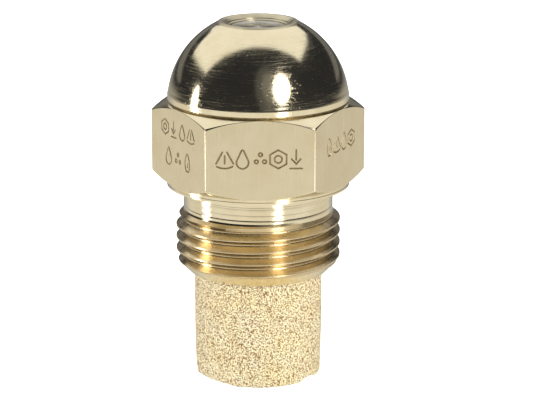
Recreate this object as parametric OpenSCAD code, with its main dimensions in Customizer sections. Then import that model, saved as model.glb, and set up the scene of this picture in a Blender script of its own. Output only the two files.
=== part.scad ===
// Oil burner nozzle that stands on its filter: a brass body with a domed nose, a hexagon and a
// 9/16-24 thread, a steel orifice disc and swirl distributor held inside it by a lock screw, and a
// sintered bronze filter pushed onto the back of the lock screw.
// Everything turns about Z. Heights are measured up from the bottom of the filter.

/* [Nose] */
// Height of the flat ring at the tip
tip_z = 31.4; // [31.35:0.01:31.45]
// Outside radius of the flat ring at the tip
tip_ring_r = 3.4; // [3.35:0.05:3.45]
// Width of the chamfer that takes the flat ring down into the dome
tip_chamfer = 0.2; // [0.2:0.01:0.25]
// Radius of the domed nose
dome_r = 7.88; // [7.8:0.02:7.94]
// Height of the centre of the dome
dome_centre_z = 24.22; // [24.1:0.02:24.3]
// Radius of the recess round the orifice disc, at the tip
recess_r = 2.95; // [2.8:0.05:3.1]
// Radius of the opening that shows the orifice disc
opening_r = 2.4; // [2.3:0.05:2.5]
// Depth of the conical recess
recess_depth = 0.42; // [0.36:0.01:0.44]
// Height of the straight band under the dome
band_h = 0.43; // [0.3:0.01:0.6]
// Depth of the groove between the band and the hexagon
groove_depth = 0.16; // [0.1:0.01:0.2]
// Height of the groove's bottom above the hexagon's flats
groove_rise = 0.1; // [0.08:0.01:0.14]

/* [Hexagon] */
// Width across flats
across_flats = 16; // [15.9:0.05:16.1]
// Height of the middle of a flat's upper edge
hex_top_z = 24.43; // [24.4:0.01:24.46]
// Height of the middle of a flat's lower edge
hex_bottom_z = 17.57; // [17.4:0.01:17.7]
// Slope of the upper corner chamfer
top_chamfer_deg = 30; // [25:0.5:32]
// Slope of the lower corner chamfer
bottom_chamfer_deg = 30; // [20:0.5:35]
// Height of the round collar under the hexagon
collar_h = 0.47; // [0.3:0.01:0.6]
// Radius of the round collar under the hexagon
collar_r = 7.94; // [7.8:0.01:7.99]

/* [Outside thread] */
// Major radius of the thread
thread_r = 7.144; // [7.1:0.001:7.144]
// Thread pitch, 24 turns to the inch
thread_pitch = 1.0583; // [1.05:0.0001:1.0583]
// Height of the end of the relief neck, where the thread starts
thread_top_z = 14.85; // [14.8:0.01:14.9]
// Height of the crest nearest to the neck that stands at full height
first_crest_z = 13.735; // [13.7:0.005:13.78]
// Number of grooves between the neck and the rear chamfer
groove_count = 4; // [3:1:4]
// Height of the flat rear end of the body
rear_z = 9.5; // [9.45:0.01:9.55]
// Outside radius of the flat rear end
rear_r = 6.1; // [6:0.05:6.2]
// Inside radius of the raised sealing ring at the rear end
seal_inner_r = 5.6; // [5.58:0.01:5.65]
// Depth of the recess inside the sealing ring
seal_step = 0.1; // [0.05:0.01:0.15]

/* [Bore] */
// Radius of the seat that holds the orifice disc
disc_bore_r = 3.7; // [3.68:0.01:3.75]
// Height of the shoulder that the orifice disc is pressed against
disc_seat_z = 30.2; // [30.15:0.01:30.25]
// Radius of the oil chamber round the distributor
chamber_r = 4; // [3.98:0.01:4.03]
// Height where the chamber meets the disc's seat
chamber_top_z = 28.15; // [28.1:0.01:28.2]
// Height where the inside thread meets the chamber
inside_thread_top_z = 16; // [15.8:0.05:16.2]

/* [Orifice disc] */
// Radius of the spray orifice
orifice_r = 0.15; // [0.1:0.01:0.25]
// Height of the disc's underside
disc_bottom_z = 28.3; // [28.25:0.01:28.35]
// Length of the spray orifice, from the swirl chamber to the disc's face
orifice_l = 0.25; // [0.2:0.01:0.3]
// Width of the sloping edge round the outside of the orifice
orifice_edge = 0.12; // [0.08:0.01:0.15]

/* [Distributor] */
// Length of the head below the cone
head_h = 1.7; // [1.5:0.1:2]
// Length of the rear flange
flange_h = 1.2; // [1:0.1:1.5]
// Radius of the waist between head and flange
waist_r = 2.6; // [2.3:0.1:2.8]
// Radius of the flat end of the cone
cone_tip_r = 1.4; // [1.2:0.05:1.6]
// Radius of the cone at the head
cone_base_r = 3; // [2.9:0.05:3]
// Number of oil slots
slot_count = 4; // [3:1:6]
// Width of the oil slots along the head and the flange
feed_slot_w = 0.9; // [0.7:0.05:1]
// Metal left between the bottom of a feed slot and the waist
slot_wall = 0.3; // [0.2:0.05:0.4]
// Width and depth of the tangential slots across the cone
swirl_slot_w = 0.35; // [0.3:0.01:0.4]
// How far a swirl slot runs beside the middle, as a share of the radius of the cone's flat end
swirl_offset = 0.62; // [0.5:0.01:0.7]

/* [Lock screw] */
// Pitch of the lock screw's thread
lock_pitch = 1; // [0.9:0.05:1]
// Number of grooves along the lock screw's thread
lock_turns = 6; // [4:1:6]
// Depth of the lock screw's thread
lock_depth = 0.45; // [0.4:0.01:0.5]
// Depth of the grooves in the body that the lock screw turns in
inside_depth = 0.2; // [0.15:0.01:0.25]
// Outside radius of the lock screw's thread
lock_r = 4.42; // [4.4:0.01:4.44]
// Length of the thread
lock_thread_h = 6; // [5.8:0.05:6.1]
// Radius of the plain tip that presses on the distributor
lock_tip_r = 3.6; // [3.5:0.05:3.7]
// How far the plain tip reaches into the chamber, past the end of the inside thread
lock_tip_reach = 1.45; // [1.4:0.05:1.5]
// Radius of the oil passage along the middle
oil_bore_r = 1.3; // [1.1:0.05:1.5]
// Radius of the four cross holes that let the oil out into the chamber
cross_hole_r = 0.5; // [0.4:0.05:0.6]
// Height of the cross holes above the end of the lock screw's thread
cross_hole_rise = 0.8; // [0.7:0.05:0.9]
// Radius of the spigot that carries the filter
spigot_r = 3.36; // [3.35:0.01:3.37]
// Length of the spigot
spigot_h = 3.1; // [3:0.05:3.15]
// Width of the screwdriver slot
driver_slot_w = 1.2; // [1:0.1:1.4]
// Depth of the screwdriver slot
driver_slot_h = 1.4; // [1:0.1:1.6]

/* [Filter] */
// Outside radius of the filter where it meets the body
filter_top_r = 5.56; // [5.4:0.02:5.56]
// Outside radius of the filter at its foot
filter_foot_r = 5.44; // [5.3:0.02:5.5]
// Size of the worn edge round the foot
filter_edge = 0.22; // [0.15:0.01:0.3]
// Radius of the space inside the filter
filter_bore_r = 3.5; // [3.45:0.05:3.6]
// Thickness of the closed end
filter_floor = 2; // [1.8:0.05:2.1]
// Outside radius of the brass bush inside the filter's mouth
bush_r = 4.6; // [4.5:0.05:4.7]
// Length of the bush
bush_h = 4; // [3.8:0.05:4.1]
// Radius of the bush's bore, a running fit on the spigot
bush_bore_r = 3.4; // [3.4:0.01:3.42]

/* [Hidden] */
$fn = 128;

brass = "#D6C58F";
bright_brass = "#DCCB98";
bronze = "#E3C68C";
steel = "#A5A49C";

// Face-to-face gap where parts are pressed together, and the running gap round a part in its bore
seat_gap = 0.03;
running_gap = 0.05;
// Side gap round the orifice disc, and round the distributor in its chamber
disc_gap = 0.04;
land_gap = 0.07;
// Small overlap that lets a cut run clear of a face
past = 0.1;
// Overlap that makes two solids of one piece grow together
weld = 0.01;

// Hexagon
flat_r = across_flats / 2;
corner_r = flat_r / cos(30);
top_corner_z = hex_top_z - (corner_r - flat_r) * tan(top_chamfer_deg);
bottom_corner_z = hex_bottom_z + (corner_r - flat_r) * tan(bottom_chamfer_deg);
collar_bottom_z = hex_bottom_z - collar_h;

// Dome, the band under it and the sloping ring between the groove and the flats
band_r = dome_r - weld;
shoulder_z = hex_top_z + 0.04;
groove_z = hex_top_z + groove_rise;
band_bottom_z = groove_z + groove_depth / 2;
band_top_z = band_bottom_z + band_h;

// Outside thread: flanks at 30 degrees, crests an eighth of the pitch wide
thread_depth = 0.6134 * thread_pitch;
neck_r = thread_r - thread_depth;

// Inside thread of the body and the lock screw that turns in it
inside_thread_r = lock_r + running_gap;
lock_rear_z = rear_z + seal_step;
lock_top_z = lock_rear_z + lock_thread_h;

// Orifice disc
disc_r = disc_bore_r - disc_gap;
disc_face_z = tip_z - recess_depth;
nose_r = opening_r - disc_gap;
socket_top_z = disc_face_z - orifice_l;

// Distributor: its 45 degree cone lies in the disc's socket, one seat gap away
land_r = chamber_r - land_gap;
head_top_z = chamber_top_z - seat_gap;
cone_tip_z = head_top_z + cone_base_r - cone_tip_r;
socket_bottom_r = cone_base_r + head_top_z - disc_bottom_z + seat_gap * sqrt(2);
socket_top_r = socket_bottom_r - (socket_top_z - disc_bottom_z);
lock_tip_z = inside_thread_top_z + lock_tip_reach;
spigot_end_z = lock_rear_z - spigot_h;
cross_hole_z = lock_top_z + cross_hole_rise;
flange_bottom_z = lock_tip_z + seat_gap;
feed_slot_depth = land_r - waist_r - slot_wall;

// Filter
filter_top_z = lock_rear_z - seat_gap;
bush_bottom_z = filter_top_z - bush_h;

// A ring-shaped V groove whose walls slope at 30 degrees, cut inwards from the radius crest_r
module outside_groove(crest_r, z, pitch, depth) {
    mouth = pitch * 7 / 16;
    root = mouth - depth * tan(30);
    translate([0, 0, z])
        rotate_extrude()
            polygon([
                [crest_r + past, mouth + past * tan(30)],
                [crest_r - depth, root],
                [crest_r - depth, -root],
                [crest_r + past, -mouth - past * tan(30)]
            ]);
}

// The same groove cut outwards from the radius crest_r, for the thread inside the body
module inside_groove(crest_r, z, pitch, depth) {
    mouth = pitch * 7 / 16;
    root = mouth - depth * tan(30);
    translate([0, 0, z])
        rotate_extrude()
            polygon([
                [crest_r - past, mouth + past * tan(30)],
                [crest_r - past, -mouth - past * tan(30)],
                [crest_r + depth, -root],
                [crest_r + depth, root]
            ]);
}

// Cylinder from one height to another
module post(r, from_z, to_z) {
    translate([0, 0, from_z])
        cylinder(h = to_z - from_z, r = r);
}

// Cone from one height and radius to another
module taper(r1, from_z, r2, to_z) {
    translate([0, 0, from_z])
        cylinder(h = to_z - from_z, r1 = r1, r2 = r2);
}

// Repeats its children round the axis
module around(count) {
    for (i = [0 : count - 1])
        rotate(i * 360 / count)
            children();
}

// Round nose: a dome cut flat at the tip with a chamfered edge, standing on a short straight band
module nose() {
    intersection() {
        translate([0, 0, dome_centre_z])
            sphere(r = dome_r);
        post(dome_r + 1, band_top_z, tip_z);
    }
    taper(tip_ring_r + tip_chamfer, tip_z - tip_chamfer, tip_ring_r, tip_z);
    post(band_r, band_bottom_z, band_top_z + weld);
    taper(dome_r - groove_depth, groove_z, band_r, band_bottom_z);
    post(dome_r - groove_depth, hex_bottom_z, groove_z);
}

// Hexagon with its corners chamfered at both ends
module hexagon() {
    intersection() {
        translate([0, 0, hex_bottom_z])
            cylinder(h = groove_z - hex_bottom_z, r = corner_r, $fn = 6);
        rotate_extrude()
            polygon([
                [0, hex_bottom_z],
                [flat_r, hex_bottom_z],
                [corner_r, bottom_corner_z],
                [corner_r, top_corner_z],
                [flat_r, hex_top_z],
                [dome_r, shoulder_z],
                [dome_r - groove_depth, groove_z],
                [0, groove_z]
            ]);
    }
    post(collar_r, collar_bottom_z, hex_bottom_z + weld);
}

// Relief neck and threaded stem
module stem() {
    difference() {
        rotate_extrude()
            polygon([
                [0, rear_z],
                [rear_r, rear_z],
                [thread_r, rear_z + thread_r - rear_r],
                [thread_r, thread_top_z - thread_depth],
                [neck_r, thread_top_z],
                [neck_r, collar_bottom_z + weld],
                [0, collar_bottom_z + weld]
            ]);
        for (i = [0 : groove_count - 1])
            outside_groove(
                thread_r,
                first_crest_z + (0.5 - i) * thread_pitch,
                thread_pitch,
                thread_depth
            );
    }
}

// Everything that is bored out of the body, from the tip down to the rear end
module body_bore() {
    taper(opening_r, disc_face_z, recess_r, tip_z);
    post(recess_r, tip_z, tip_z + past);
    post(opening_r, disc_seat_z - past, disc_face_z);
    post(disc_bore_r, chamber_top_z - past, disc_seat_z);
    post(chamber_r, inside_thread_top_z - past, chamber_top_z);
    post(inside_thread_r, rear_z, inside_thread_top_z);
    for (i = [1 : lock_turns])
        inside_groove(
            inside_thread_r,
            lock_rear_z + (i - 0.5) * lock_pitch,
            lock_pitch,
            inside_depth
        );
    post(seal_inner_r, rear_z - past, lock_rear_z);
}

module nozzle_body() {
    color(brass)
        difference() {
            union() {
                nose();
                hexagon();
                stem();
            }
            body_bore();
        }
}

module orifice_disc() {
    color(steel)
        difference() {
            union() {
                post(disc_r, disc_bottom_z, disc_seat_z - seat_gap);
                post(nose_r, disc_bottom_z, disc_face_z);
            }
            taper(socket_bottom_r, disc_bottom_z, socket_top_r, socket_top_z);
            post(socket_bottom_r, disc_bottom_z - past, disc_bottom_z);
            post(orifice_r, socket_top_z - past, disc_face_z + past);
            taper(orifice_r, disc_face_z - orifice_edge, orifice_r + orifice_edge, disc_face_z);
        }
}

// One straight slot down the side of the head and the flange
module feed_slot() {
    slot_h = head_top_z - flange_bottom_z + 2 * past;
    translate([land_r - feed_slot_depth, -feed_slot_w / 2, flange_bottom_z - past])
        cube([feed_slot_depth + 1, feed_slot_w, slot_h]);
}

// One slot down the cone that enters the swirl chamber beside its middle, so the oil spins
module swirl_slot() {
    translate([cone_tip_r, cone_tip_r * swirl_offset, cone_tip_z])
        rotate([0, 45, 0])
            translate([-1, -swirl_slot_w / 2, -swirl_slot_w])
                cube([5, swirl_slot_w, 2 * swirl_slot_w]);
}

module swirl_distributor() {
    color(steel)
        difference() {
            union() {
                post(land_r, flange_bottom_z, flange_bottom_z + flange_h);
                post(waist_r, flange_bottom_z, head_top_z);
                post(land_r, head_top_z - head_h, head_top_z);
                taper(cone_base_r, head_top_z, cone_tip_r, cone_tip_z);
            }
            around(slot_count) {
                feed_slot();
                swirl_slot();
            }
        }
}

module lock_screw() {
    color(bright_brass)
        difference() {
            union() {
                post(lock_r, lock_rear_z, lock_top_z);
                post(lock_tip_r, lock_top_z - past, lock_tip_z);
                post(spigot_r, spigot_end_z, lock_rear_z + past);
            }
            for (i = [1 : lock_turns])
                outside_groove(
                    lock_r,
                    lock_rear_z + (i - 0.5) * lock_pitch,
                    lock_pitch,
                    lock_depth
                );
            post(oil_bore_r, spigot_end_z - past, cross_hole_z);
            around(4)
                translate([0, 0, cross_hole_z])
                    rotate([0, 90, 0])
                        cylinder(h = lock_r, r = cross_hole_r, $fn = 48);
            translate([-lock_r, -driver_slot_w / 2, spigot_end_z - past])
                cube([2 * lock_r, driver_slot_w, driver_slot_h + past]);
        }
}

module filter_bush() {
    color(bright_brass)
        difference() {
            post(bush_r, bush_bottom_z, filter_top_z);
            post(bush_bore_r, bush_bottom_z - past, filter_top_z + past);
        }
}

module sintered_filter() {
    color(bronze)
        rotate_extrude()
            polygon([
                [0, 0],
                [filter_foot_r - filter_edge, 0],
                [filter_foot_r, filter_edge],
                [filter_top_r, filter_top_z - filter_edge / 2],
                [filter_top_r - filter_edge / 2, filter_top_z],
                [bush_r, filter_top_z],
                [bush_r, bush_bottom_z],
                [filter_bore_r, bush_bottom_z],
                [filter_bore_r, filter_floor],
                [0, filter_floor]
            ]);
}

nozzle_body();
orifice_disc();
swirl_distributor();
lock_screw();
filter_bush();
sintered_filter();
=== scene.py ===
import math

import bmesh
import bpy
import numpy as np
from mathutils import Matrix, Quaternion, Vector
from mathutils.geometry import delaunay_2d_cdt


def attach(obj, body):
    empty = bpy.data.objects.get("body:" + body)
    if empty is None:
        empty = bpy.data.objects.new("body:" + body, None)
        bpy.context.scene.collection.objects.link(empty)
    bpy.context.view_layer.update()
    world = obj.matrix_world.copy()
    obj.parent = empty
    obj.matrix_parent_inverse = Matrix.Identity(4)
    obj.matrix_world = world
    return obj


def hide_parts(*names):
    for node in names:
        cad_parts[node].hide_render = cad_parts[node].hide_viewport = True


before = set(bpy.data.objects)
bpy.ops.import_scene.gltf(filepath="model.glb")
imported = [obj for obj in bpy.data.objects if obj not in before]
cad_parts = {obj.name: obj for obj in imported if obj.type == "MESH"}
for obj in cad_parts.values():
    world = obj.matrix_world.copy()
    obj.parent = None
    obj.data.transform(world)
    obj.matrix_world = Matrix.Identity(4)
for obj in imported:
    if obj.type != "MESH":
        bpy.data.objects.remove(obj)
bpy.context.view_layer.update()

# Shapes are worked out in millimetres and made into meshes in metres
MM = 0.001

# ---- sizes of the CAD model
TIP_Z = 31.4
TIP_RING_R = 3.4
DOME_R = 7.88
DOME_Z = 24.22
RECESS_R = 2.95
OPENING_R = 2.4
DISC_FACE_Z = 30.98
HEX_TOP_Z = 24.43
HEX_BOTTOM_Z = 17.57
FLAT_R = 8.0
TOP_CHAMFER = math.tan(math.radians(30))
BOTTOM_CHAMFER = math.tan(math.radians(30))
COLLAR_R = 7.94
COLLAR_BOTTOM_Z = 17.10
NECK_R = 6.495
THREAD_R = 7.144
THREAD_PITCH = 1.0583
THREAD_TOP_Z = 14.85
FIRST_CREST_Z = 13.735
REAR_Z = 9.5
REAR_R = 6.1
SEAL_R = 5.6
LOCK_REAR_Z = 9.6
DISC_BORE_R = 3.7
DISC_SEAT_Z = 30.2
CHAMBER_R = 4.0
CHAMBER_TOP_Z = 28.15
INSIDE_TOP_Z = 16.0
LOCK_PITCH = 1.0

# ---- finer shapes, in this model only
# The tip is faced dull out to FACED_R, and its worn edge runs into the dome at BLEND_R
FACED_R = 3.52
BLEND_R = 3.85
# A small step in the recess: radius, and height above the orifice disc's face
RECESS_STEP = ((2.57, 0.11), (2.61, 0.03), (2.67, 0.15))
RECESS_EDGE = 0.04
RIM_BREAK = 0.18
BAND_TOP_Z = 25.13
BAND_BOTTOM_Z = 24.68
BAND_R = 7.86
GROOVE_Z = 24.495
GROOVE_R = 7.80
GROOVE_EDGE_Z = 24.47
SHOULDER_R = DOME_R - 0.01
COLLAR_TOP_Z = HEX_BOTTOM_Z - 0.02
COLLAR_LINE_Z = 17.33
HEX_EDGE = 0.13
HEX_ROUND = 0.045
HEX_ROUND_AT_CORNERS = 0.2
LATHE_ROUND = 0.03

# ---- mesh building

# A rounded corner takes up at most this share of the sides next to it
FILLET_SHARE = 0.42
# Points on the same one of this many steps to a millimetre are welded
WELD_STEPS = 2e4


def fillet(points, radius, steps=3, least=8.0):
    """A profile with each corner that turns `least` degrees or more rounded.

    points is (K, 2) or (K, C, 2).
    """
    p = np.asarray(points, float)
    flat = p.ndim == 2
    if flat:
        p = p[:, None, :]
    rows = [p[:1]]
    for k in range(1, len(p) - 1):
        before, corner, after = p[k - 1], p[k], p[k + 1]
        a, b = before - corner, after - corner
        la = np.linalg.norm(a, axis=1, keepdims=True)
        lb = np.linalg.norm(b, axis=1, keepdims=True)
        a, b = a / np.maximum(la, 1e-9), b / np.maximum(lb, 1e-9)
        turn = math.pi - np.arccos(np.clip((a * b).sum(1), -1, 1)).max()
        if turn < math.radians(least):
            rows.append(p[k : k + 1])
            continue
        reach = np.minimum(radius * math.tan(turn / 2), FILLET_SHARE * np.minimum(la, lb))
        start, end = corner + a * reach, corner + b * reach
        for i in range(steps + 1):
            t = i / steps
            rows.append(((1 - t) ** 2 * start + 2 * t * (1 - t) * corner + t**2 * end)[None])
    rows.append(p[-1:])
    out = np.concatenate(rows)
    return out[:, 0] if flat else out


def circle(u, v, r, t):
    """Points of a circle about (u, v) at the angles t."""
    return np.stack([u + r * np.cos(t), v + r * np.sin(t)], 1)


def arc(u, v, r, start_deg, end_deg, count):
    """Evenly spaced points of a part of that circle."""
    return circle(u, v, r, np.radians(np.linspace(start_deg, end_deg, count)))


def spin(profile, angles):
    """Rows of points (K, C, 3) from a profile in (r, z) turned to each angle."""
    p = np.asarray(profile, float)
    if p.ndim == 2:
        p = np.repeat(p[:, None, :], len(angles), 1)
    return np.stack([p[..., 0] * np.cos(angles), p[..., 0] * np.sin(angles), p[..., 1]], -1)


class Shell:
    """Collects points and faces in millimetres, then welds them into one mesh."""

    def __init__(self):
        self.points = []
        self.faces = []
        self.slots = []
        self.count = 0

    def add(self, points, faces, slot=0):
        points = np.asarray(points, float).reshape(-1, 3)
        self.points.append(points)
        for f in faces:
            self.faces.append(np.asarray(f) + self.count)
            self.slots.append(slot)
        self.count += len(points)

    def grid(self, rows, slot=0, closed=True, keep=None):
        """Quads between neighbouring points of rows (K, C, 3). keep is a (K-1, C) mask."""
        k, c = rows.shape[:2]
        index = np.arange(k * c).reshape(k, c)
        right = np.roll(index, -1, 1)
        quads = np.stack([index[:-1], index[1:], right[1:], right[:-1]], -1)
        if not closed:
            quads = quads[:, :-1]
        quads = quads[keep] if keep is not None else quads.reshape(-1, 4)
        self.points.append(rows.reshape(-1, 3))
        self.faces.extend(quads + self.count)
        self.slots.extend([slot] * len(quads))
        self.count += k * c

    def mesh(self, name):
        points = np.concatenate(self.points)
        keys = np.round(points * WELD_STEPS).astype(np.int64)
        _, first, same = np.unique(keys, axis=0, return_index=True, return_inverse=True)
        same = same.reshape(-1)
        faces, slots = [], []
        for face, slot in zip(self.faces, self.slots):
            ring = []
            for v in same[face]:
                if not ring or ring[-1] != v:
                    ring.append(v)
            if len(ring) > 1 and ring[0] == ring[-1]:
                ring.pop()
            if len(ring) > 2 and len(set(ring)) == len(ring):
                faces.append(ring)
                slots.append(slot)
        mesh = bpy.data.meshes.new(name)
        mesh.from_pydata((points[first] * MM).tolist(), [], faces)
        mesh.polygons.foreach_set("material_index", slots)
        return mesh


def mark_seams(mesh):
    """Makes every edge between two materials crisp, so that a flat's shading stays flat to its edge."""
    faces = len(mesh.polygons)
    slots = np.zeros(faces, np.int32)
    mesh.polygons.foreach_get("material_index", slots)
    totals = np.zeros(faces, np.int32)
    mesh.polygons.foreach_get("loop_total", totals)
    edges = np.zeros(len(mesh.loops), np.int32)
    mesh.loops.foreach_get("edge_index", edges)
    loop_slots = np.repeat(slots, totals)
    low = np.full(len(mesh.edges), faces)
    high = np.full(len(mesh.edges), -1)
    np.minimum.at(low, edges, loop_slots)
    np.maximum.at(high, edges, loop_slots)
    sharp = mesh.attributes.get("sharp_edge") or mesh.attributes.new("sharp_edge", "BOOLEAN", "EDGE")
    values = np.zeros(len(mesh.edges), bool)
    sharp.data.foreach_get("value", values)
    sharp.data.foreach_set("value", values | (low != high))


def linked(name, data):
    """A new object in the scene."""
    thing = bpy.data.objects.new(name, data)
    bpy.context.scene.collection.objects.link(thing)
    return thing


def finished(name, mesh, materials, body, node, slot, sharp_deg=30.0):
    """The piece: smooth shading with crisp edges, its materials, and what it rides on and replaces."""
    work = bmesh.new()
    work.from_mesh(mesh)
    bmesh.ops.recalc_face_normals(work, faces=work.faces)
    work.to_mesh(mesh)
    work.free()
    mesh.polygons.foreach_set("use_smooth", [True] * len(mesh.polygons))
    mesh.set_sharp_from_angle(angle=math.radians(sharp_deg))
    if len(materials) > 1:
        mark_seams(mesh)
    for m in materials:
        mesh.materials.append(m)
    piece = linked(name, mesh)
    even = piece.modifiers.new("even_normals", "WEIGHTED_NORMAL")
    even.keep_sharp = True
    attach(piece, body)
    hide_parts(node)
    return piece


def turns(count):
    """Evenly spaced angles round the axis."""
    return np.arange(count) * 2 * math.pi / count


def once_round(angles):
    """The same angles closed up and started a quarter turn back, so that azimuth 0 is the -Y side."""
    return np.append(angles, angles[0] + 2 * math.pi) - 1.5 * math.pi


# ---- threads

# Half a crest is its middle and the three points of its rounded corner
CREST_POINTS = 4
# The root is the part of a groove that is deeper than this share
ROOT_FROM = 0.6
END_SNAP = 0.025


def thread_period(pitch, depth, crest, crest_round, root_round):
    """One pitch of a 60 degree thread as (phase, height below the crest), from crest to crest."""
    half_crest = crest / 2
    flank = depth * math.tan(math.radians(30))
    corners = np.array([
        (0, 0),
        (half_crest, 0),
        (half_crest + flank, depth),
        (pitch - half_crest - flank, depth),
        (pitch - half_crest, 0),
        (pitch, 0),
    ])
    crest_side = fillet(corners, crest_round, 2)
    root_side = fillet(corners, root_round, 4)
    return np.concatenate([
        crest_side[:CREST_POINTS],
        root_side[root_side[:, 1] > depth * ROOT_FROM],
        crest_side[-CREST_POINTS:],
    ])


def helix_rows(angles, from_z, to_z, first_crest_z, pitch, period, radius_at):
    """Rows that follow a right-hand helix, cut off level at both ends. Azimuth 0 is the -Y side."""
    azimuth = np.asarray(angles) + math.pi / 2
    lift = pitch * azimuth / (2 * math.pi)
    phases = period[:-1, 0]
    low = math.floor((from_z - first_crest_z) / pitch) - 1
    high = math.ceil((to_z - first_crest_z) / pitch) + 1
    starts = np.concatenate([first_crest_z + n * pitch + phases for n in range(low, high + 1)])
    z = starts[:, None] + lift[None, :]
    # Rows within a whisker of an end are put on it, so that no sliver of a face is left there
    z = np.where(z > to_z - END_SNAP, to_z, np.where(z < from_z + END_SNAP, from_z, z))
    phase = np.mod(z - lift[None, :] - first_crest_z, pitch)
    depth = np.interp(phase, period[:, 0], period[:, 1])
    r = radius_at(depth, z)
    return np.stack([r * np.cos(angles), r * np.sin(angles), z], -1)


# ---- node helpers for materials


class Nodes:
    """Short ways of writing the nodes of a material, or of a world."""

    def __init__(self, name, world=None):
        self.owner = world or bpy.data.materials.new(name)
        self.owner.use_nodes = True
        self.tree = self.owner.node_tree
        self.shader = self.tree.nodes.get("Principled BSDF")

    def put(self, value, socket):
        if isinstance(value, bpy.types.NodeSocket):
            self.tree.links.new(value, socket)
        else:
            socket.default_value = value

    def new(self, kind, inputs=(), **settings):
        """A node with its settings, and what goes into its inputs: pairs of a key and a value or socket."""
        node = self.tree.nodes.new(kind)
        for key, value in settings.items():
            setattr(node, key, value)
        for key, value in dict(inputs).items():
            self.put(value, node.inputs[key])
        return node

    def math(self, operation, a, b=0.0, c=0.0):
        return self.new("ShaderNodeMath", enumerate((a, b, c)), operation=operation).outputs[0]

    def place(self):
        """Position on the object in millimetres, as separate x, y and z."""
        where = self.new("ShaderNodeTexCoord").outputs["Object"]
        split = self.new("ShaderNodeSeparateXYZ", {0: where})
        return [self.math("MULTIPLY", s, 1 / MM) for s in split.outputs]

    def vector(self, x, y, z):
        return self.new("ShaderNodeCombineXYZ", enumerate((x, y, z))).outputs[0]

    def stretched(self, place, across, up):
        """The place with x and y times `across` and z times `up`, to draw a pattern out."""
        return self.vector(*(self.math("MULTIPLY", v, k) for v, k in zip(place, (across, across, up))))

    def from_axis(self, x, y):
        squares = [self.math("MULTIPLY", v, v) for v in (x, y)]
        return self.math("SQRT", self.math("ADD", *squares))

    def noise(self, vector, scale=1.0, detail=2.0, rough=0.5):
        inputs = {"Vector": vector, "Scale": scale, "Detail": detail, "Roughness": rough}
        return self.new("ShaderNodeTexNoise", inputs).outputs["Fac"]

    def spread(self, value, low, high, to_low, to_high):
        inputs = {"Value": value, "From Min": low, "From Max": high, "To Min": to_low, "To Max": to_high}
        return self.new("ShaderNodeMapRange", inputs).outputs["Result"]

    def mix(self, factor, a, b):
        a, b = (v if isinstance(v, bpy.types.NodeSocket) else (*v, 1) for v in (a, b))
        return self.new("ShaderNodeMix", {0: factor, 6: a, 7: b}, data_type="RGBA").outputs[2]

    def bump(self, height, strength, distance, under=None):
        inputs = {"Strength": strength, "Distance": distance, "Height": height}
        if under is not None:
            inputs["Normal"] = under
        return self.new("ShaderNodeBump", inputs).outputs["Normal"]

    def brushed(self, amount):
        """Spreads highlights across the rings that a lathe leaves round Z."""
        tangent = self.new("ShaderNodeTangent", direction_type="RADIAL", axis="Z")
        self.put(tangent.outputs[0], self.shader.inputs["Tangent"])
        self.shader.inputs["Anisotropic"].default_value = amount
        self.shader.inputs["Anisotropic Rotation"].default_value = 0.25

    def finish(self, color, roughness, normal=None, metallic=1.0):
        s = self.shader.inputs
        self.put(color if isinstance(color, bpy.types.NodeSocket) else (*color, 1), s["Base Color"])
        self.put(roughness, s["Roughness"])
        s["Metallic"].default_value = metallic
        if normal is not None:
            self.put(normal, s["Normal"])
        return self.owner


BRASS = (0.84, 0.74, 0.505)
BRASS_DULL = (0.77, 0.65, 0.405)
BRASS_PAINTED_LIGHT = (0.94, 0.79, 0.47)
THREAD_BRASS = (0.75, 0.60, 0.35)
THREAD_BRASS_DULL = (0.65, 0.50, 0.28)
FACED_BRASS = (0.63, 0.565, 0.39)
FACED_BRASS_DULL = (0.54, 0.475, 0.31)
# Dark browns that paint the shade in the stamped marks and the groove
RECESS_SHADE = (0.52, 0.41, 0.22)
RECESS_SHADE_DARK = (0.32, 0.24, 0.12)
STEEL = (0.60, 0.57, 0.50)
STEEL_DULL = (0.46, 0.435, 0.375)
GRAIN_FACE = (1.0, 0.96, 0.70)
GRAIN_FACE_WARM = (1.0, 0.91, 0.55)
GRAIN_DULL = (0.90, 0.68, 0.36)
# The dark brown of the painted shade in the pores between grains
PORE_SHADE = (0.26, 0.12, 0.02)

# Depths that the bumps stand for
LINE_DEPTH = 0.02 * MM
SCRATCH_DEPTH = 0.01 * MM
GRAIN_DEPTH = 0.06 * MM


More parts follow.
